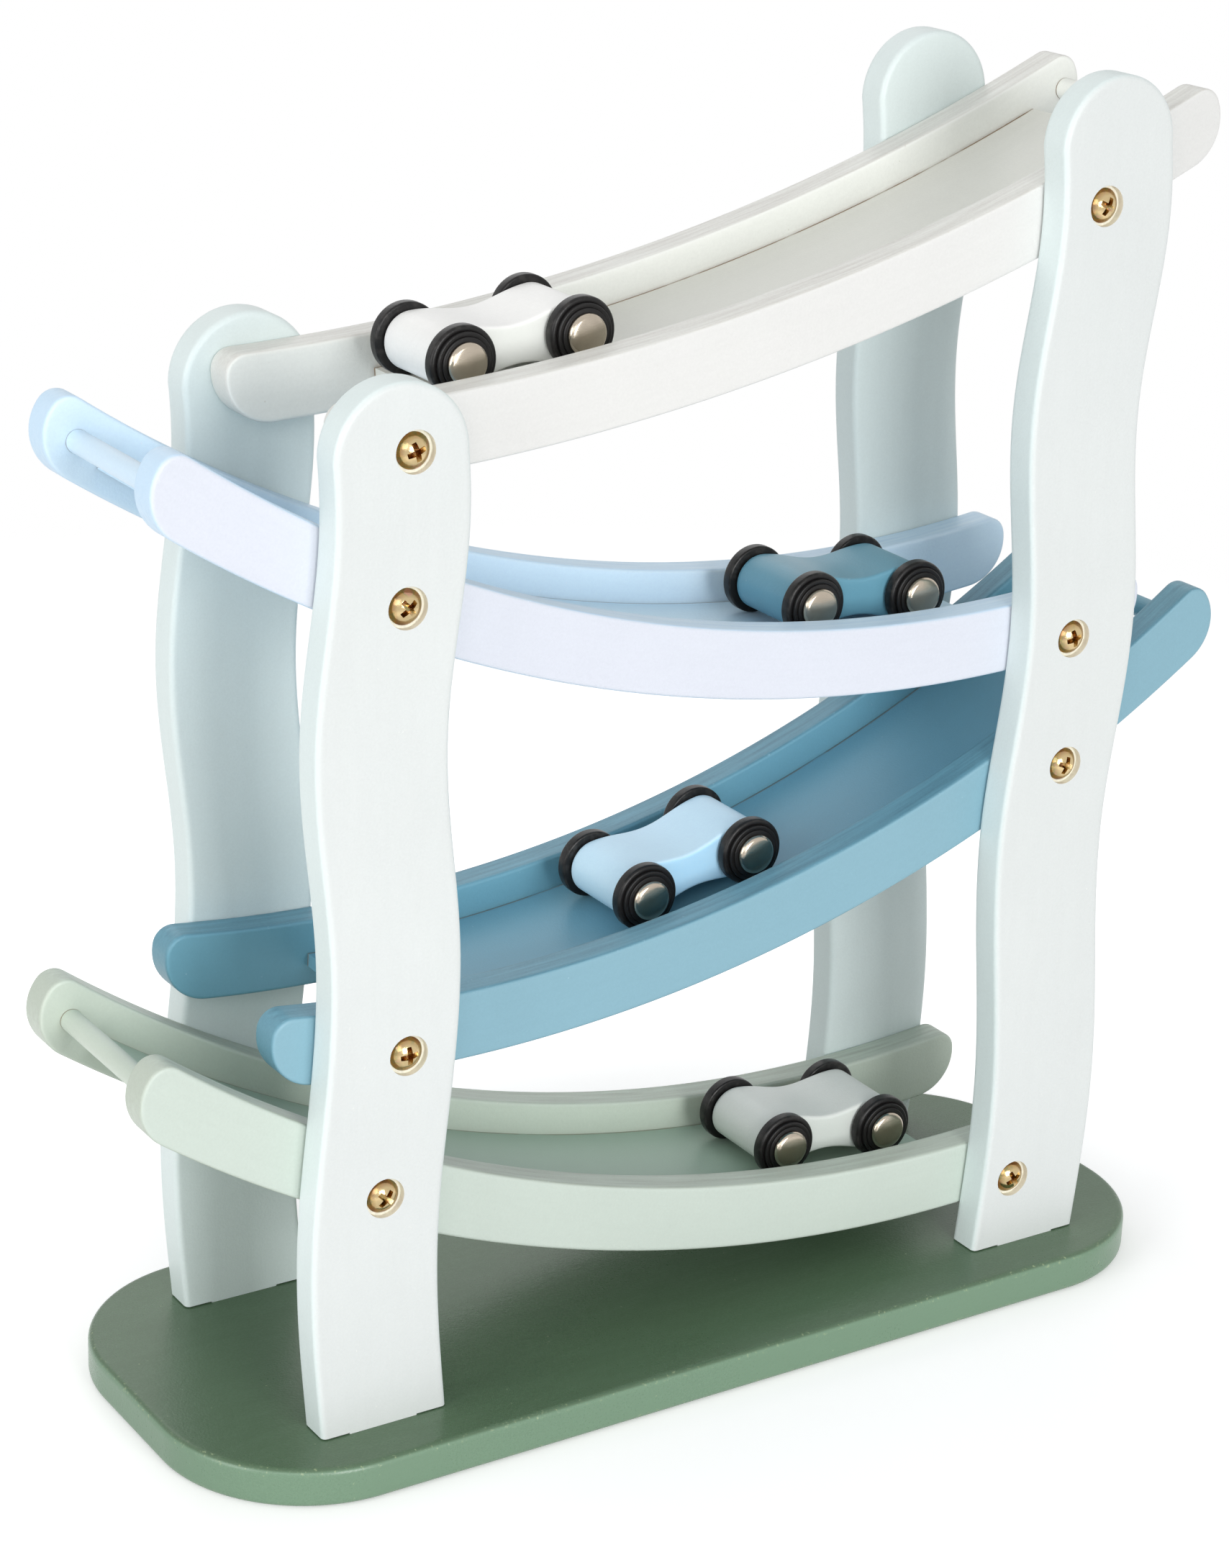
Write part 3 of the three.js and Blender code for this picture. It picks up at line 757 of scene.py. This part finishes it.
for number in TRACKS:
    lead = middle_of(f"car_{number}_lead_axle")
    tail = middle_of(f"car_{number}_tail_axle")
    left, right = (lead, tail) if lead.x < tail.x else (tail, lead)
    centre = (left + right) / 2
    slope = math.atan2(right.z - left.z, right.x - left.x)
    half = WHEELBASE / 2
    dip = BODY_END - BODY_WAIST / 2
    hollow = []
    for t in stretch(0, 1, 40)[1:-1]:
        sag = dip * (1 - math.cos(2 * math.pi * t)) / 2
        hollow.append((half * (2 * t - 1), BODY_END - sag))
    path = [(x, -z) for x, z in hollow]
    path += arc(half, 0, BODY_END, -90, 90, 36)
    path += reversed(hollow)
    path += arc(-half, 0, BODY_END, 90, 270, 36)
    cos, sin = math.cos(slope), math.sin(slope)
    outline = [(centre.x + x * cos - z * sin, centre.z + x * sin + z * cos) for x, z in path]
    wide = BODY_WIDTH / 2
    block = eased_board(f"car_{number}_block", outline, -wide, wide, BODY_EASE, upright)
    bores = bmesh.new()
    hole = AXLE_BORE / 2
    through = [(0, -BORE_REACH), (hole, -BORE_REACH), (hole, BORE_REACH), (0, BORE_REACH)]
    for axle in (left, right):
        turn(bores, through, axle.x, axle.z, 0, 1, 24)
    carve(block, bores)
    sand_edges(block, 1, -wide, wide, BODY_EASE)
    colour, worn = CAR_COLOURS[number], CAR_WORN[number]
    # Painted shade: the sides of the car take a colour of their own, darker than the top on most cars.
    shaded_sides = (SHADED_SIDE_COLOURS[number], SHADED_SIDE_SHARE, SHADED_SIDE_STREAKS)
    paint = sprayed_paint(f"car_{number}_paint", colour, worn, CAR_GLOSS, CAR_GRAIN, sawn_edges_and_shaded_sides=shaded_sides)
    set_up(block, paint, f"car_{number}", f"car_{number}_paint", f"car_{number}_body")


# Axles
# Nickel plated steel pins run through the cars, with a domed cap pressed on each end that holds the
# wheel on. The caps are polished, and carry fine rubbed marks.
AXLE_DIAMETER = 2.6
CAP_DIAMETER = 9.2
CAP_RIM = 0.6
CAP_DOME = 0.9
CAP_SHOULDER = 1.15
CAP_INSIDE = 14.1
CAP_CHAMFER = 0.15
CAP_CROWN = 0.25
TURNED_EDGE = math.radians(40)
NICKEL = (186, 175, 159)
NICKEL_GRAIN = (900, 900, 5200)
BLOOM_SCALE = 260
AXLE_PLACES = ("lead", "tail")

nickel, coat, place = new_finish("nickel_plate")
bloom = coat.noise(BLOOM_SCALE, 3, place)
rubs = coat.grain(NICKEL_GRAIN, place)
plate = (bloom * 0.7 + rubs * 0.3).kept().blend(mixed(NICKEL, 0.78), mixed(NICKEL, 1.18))
bump = (rubs + bloom).relief(0.12, 0.1)
feeds = {"Base Color": plate, "Metallic": 1.0, "Roughness": 0.12 + rubs * 0.14, "Normal": bump}
end_finish(coat, feeds)

for number in TRACKS:
    for place_name in AXLE_PLACES:
        node = f"car_{number}_{place_name}_axle"
        x, _, z = middle_of(node)
        rod, cap = AXLE_DIAMETER / 2, CAP_DIAMETER / 2
        rim = CAP_INSIDE + CAP_RIM
        half = [(rod, CAP_INSIDE), (cap - CAP_CHAMFER, CAP_INSIDE), (cap, CAP_INSIDE + CAP_CHAMFER)]
        crown = rim + CAP_DOME
        shoulder = crown - CAP_CROWN - CAP_SHOULDER
        half += arc(cap - CAP_SHOULDER, shoulder, CAP_SHOULDER, 0, 80, 8)
        flat, start = half[-1]
        half += [(flat * (1 - t), start + (crown - start) * t * (2 - t)) for t in stretch(0, 1, 6)[1:]]
        form = bmesh.new()
        turn(form, [(r, -along) for r, along in reversed(half)] + half, x, z, 0, 1)
        pin = piece_from(f"{node}_pin", form)
        smooth(pin, TURNED_EDGE)
        set_up(pin, nickel, f"car_{number}_{place_name}_wheels", "nickel", node)


# Wheels
# Black moulded wheels with a rounded tread and a face that steps up in two rings to the cap. They
# are pressed on the axle and turn with it.
WHEEL_RADIUS = 7.8
TREAD_WIDTH = 2.8
TREAD_ROUND = 0.7
INNER_ROUND = 0.5
STEP = (6.5, 0.7)
STEP_ROUND = 0.3
STEP_GROOVE = (0.25, 0.15)
HUB = (5.5, 0.3)
HUB_ROUND = 0.2
HUB_GROOVE = (0.2, 0.1)
WHEEL_BORE = 1.5
WHEEL_GAP = 0.4
BLACK = (25, 24, 24)
BLACK_RUBBED = (58, 56, 54)
HAZE_SCALE = 190
PORE_SCALE = 2200
SCUFF_SCALE = 520
WHEEL_SIDES = {"near": -1, "far": 1}

black, coat, place = new_finish("black_moulding")
haze = coat.noise(HAZE_SCALE, 3, place)
pores = coat.noise(PORE_SCALE, 3, place)
edge = coat.node("ShaderNodeAttribute", {"attribute_name": "edge"}, {}, "Fac")
rubbed = (edge * ((coat.noise(SCUFF_SCALE, 4, place) - 0.46) * 6)).kept()
dark = haze.blend(mixed(BLACK, 0.8), mixed(BLACK, 1.25))
dark = (rubbed * 0.5).blend(dark, mixed(BLACK_RUBBED))
bump = (pores + haze * 0.5).relief(0.2, 0.2)
rough = 0.2 + haze * 0.14 + pores * 0.1
feeds = {"Base Color": dark, "Roughness": rough, "Normal": bump, "Specular IOR Level": 0.26}
end_finish(coat, feeds)

for number in TRACKS:
    for place_name in AXLE_PLACES:
        for reach, side in WHEEL_SIDES.items():
            node = f"car_{number}_{place_name}_wheel_{reach}"
            x, _, z = middle_of(node)
            step_at = TREAD_WIDTH + STEP[1]
            face_at = step_at + HUB[1]
            shoulder = WHEEL_RADIUS - INNER_ROUND
            profile = [(WHEEL_BORE, 0), (shoulder, 0)]
            profile += arc(shoulder, INNER_ROUND, INNER_ROUND, -60, 0, 4)
            crown = TREAD_WIDTH - TREAD_ROUND
            profile += arc(WHEEL_RADIUS - TREAD_ROUND, crown, TREAD_ROUND, 0, 90, 6)
            step, groove = STEP[0], STEP_GROOVE
            profile += [(step + groove[0], TREAD_WIDTH), (step, TREAD_WIDTH - groove[1])]
            profile += arc(step - STEP_ROUND, step_at - STEP_ROUND, STEP_ROUND, 0, 90, 5)
            hub, groove = HUB[0], HUB_GROOVE
            profile += [(hub + groove[0], step_at), (hub, step_at - groove[1])]
            profile += arc(hub - HUB_ROUND, face_at - HUB_ROUND, HUB_ROUND, 0, 90, 4)
            profile += [(WHEEL_BORE, face_at)]
            form = bmesh.new()
            turn(form, profile, x, z, side * (BODY_WIDTH / 2 + WHEEL_GAP), side, 64, True)
            wheel = piece_from(f"{node}_ring", form)
            smooth(wheel, TURNED_EDGE)
            mesh = wheel.data
            worn = mesh.attributes.new("edge", "FLOAT", "POINT")
            for vertex in mesh.vertices:
                out = math.hypot(vertex.co.x / MM - x, vertex.co.z / MM - z)
                worn.data[vertex.index].value = 1.0 if out > shoulder else 0.0
            set_up(wheel, black, f"car_{number}_{place_name}_wheels", "black_rubber", node)


# Studio
# A pale floor that fades into white, a bright tent of light, a soft lamp in front of the object with
# weaker ones at its left and behind, and the camera where the picture was taken from. The places in
# this section are in metres.
FLOOR_SIZE = 4
FLOOR_LEVEL = -0.0003
FLOOR_PALE = (0.84, 0.84, 0.84, 1)
FLOOR_GLOW = 0.31
FLOOR_BRIGHTER = 0.31
FLOOR_REACH = (0.3, 0.35)
SHADOW_MIDDLE = (0, -0.06, 0)
SHADOW_REACH = (0.13, 0.11)
WHITE = (1, 1, 1, 1)
SEEN_RAYS = ("Camera", "Glossy", "Transmission")
AMBIENT = 0.52
LAMPS = {
    "front_lamp": ((-0.06, -1.25, 0.36), (0.5, 0.5), 8.6),
    "left_lamp": ((-1.2, -0.2, 0.5), (0.7, 0.7), 5.6),
    "key_lamp": ((-0.78, -1.0, 0.66), (0.65, 0.65), 2.3),
    "back_lamp": ((0.3, 0.85, 0.95), (0.9, 0.9), 1.9),
}
LAMP_AIM = (0, 0, 0.14)
CAMERA_PLACE = (-0.41123, -0.61018, 0.40357)
CAMERA_TURNS = (33.372, -20.474, 2.2)
CAMERA_LENS = 80.24
CAMERA_FILM = 36
CAMERA_NEAR = 0.01
scene = bpy.context.scene
scene.view_settings.view_transform = "Standard"


def seen_share(coat):
    """1 for what the camera sees straight, in a gloss or through glass, and 0 for other light."""
    rays = [coat.node("ShaderNodeLightPath", {}, {}, f"Is {ray} Ray") for ray in SEEN_RAYS]
    return (rays[0] + rays[1] + rays[2]).kept()


form = bmesh.new()
bmesh.ops.create_grid(form, x_segments=1, y_segments=1, size=FLOOR_SIZE)
bmesh.ops.translate(form, verts=form.verts, vec=(0, 0, FLOOR_LEVEL))
floor = piece_from("studio_floor", form)
pale, coat, place = new_finish("studio_floor")
seen = seen_share(coat)
cover = coat.node("ShaderNodeBsdfDiffuse", {}, {"Color": FLOOR_PALE})
ends = {0: place, 1: SHADOW_MIDDLE}
apart = coat.node("ShaderNodeVectorMath", {"operation": "DISTANCE"}, ends, "Value")
outside = ((apart - SHADOW_REACH[0]) / SHADOW_REACH[1]).kept()
# The floor glows for the camera and in gloss: least round the front of the object, so that its shadow
# shows there, and more further out, where the glow washes the shadow away.
strength = seen * (FLOOR_GLOW + outside * FLOOR_BRIGHTER)
glow = coat.node("ShaderNodeEmission", {}, {"Color": WHITE, "Strength": strength})
lit = coat.node("ShaderNodeAddShader", {}, {0: cover, 1: glow})
away = coat.node("ShaderNodeVectorMath", {"operation": "LENGTH"}, {0: place}, "Value")
fade = ((away - FLOOR_REACH[0]) / FLOOR_REACH[1]).kept()
clear = coat.node("ShaderNodeBsdfTransparent")
surface = coat.node("ShaderNodeMixShader", {}, {0: fade, 1: lit, 2: clear})
coat.node("ShaderNodeOutputMaterial", {}, {"Surface": surface})
floor.data.materials.append(pale)

world = bpy.data.worlds.new("studio")
world.use_nodes = True
world.node_tree.nodes.clear()
scene.world = world
coat = Coat(world.node_tree)
seen = seen_share(coat)
feeds = {"Color": WHITE, "Strength": AMBIENT + seen * (1 - AMBIENT)}
coat.node("ShaderNodeOutputWorld", {}, {"Surface": coat.node("ShaderNodeBackground", {}, feeds)})

aim = Vector(LAMP_AIM)
for name, (spot, size, power) in LAMPS.items():
    lamp = bpy.data.lights.new(name, "AREA")
    lamp.shape = "RECTANGLE"
    lamp.size, lamp.size_y = size
    lamp.energy = power
    holder = bpy.data.objects.new(name, lamp)
    holder.location = spot
    holder.rotation_euler = (aim - Vector(spot)).to_track_quat("-Z", "Y").to_euler()
    scene.collection.objects.link(holder)

heading, pitch, roll = [math.radians(turned) for turned in CAMERA_TURNS]
flat = math.cos(pitch)
forward = Vector((math.sin(heading) * flat, math.cos(heading) * flat, math.sin(pitch)))
level = Vector((math.cos(heading), -math.sin(heading), 0))
rise = level.cross(forward)
right = level * math.cos(roll) + rise * math.sin(roll)
above = rise * math.cos(roll) - level * math.sin(roll)
view = Matrix((right, above, -forward)).transposed().to_4x4()
view.translation = Vector(CAMERA_PLACE)
camera = bpy.data.objects.new("camera", bpy.data.cameras.new("camera"))
camera.data.sensor_fit = "AUTO"
camera.data.sensor_width = CAMERA_FILM
camera.data.lens = CAMERA_LENS
camera.data.clip_start = CAMERA_NEAR
camera.matrix_world = view
scene.collection.objects.link(camera)
scene.camera = camera
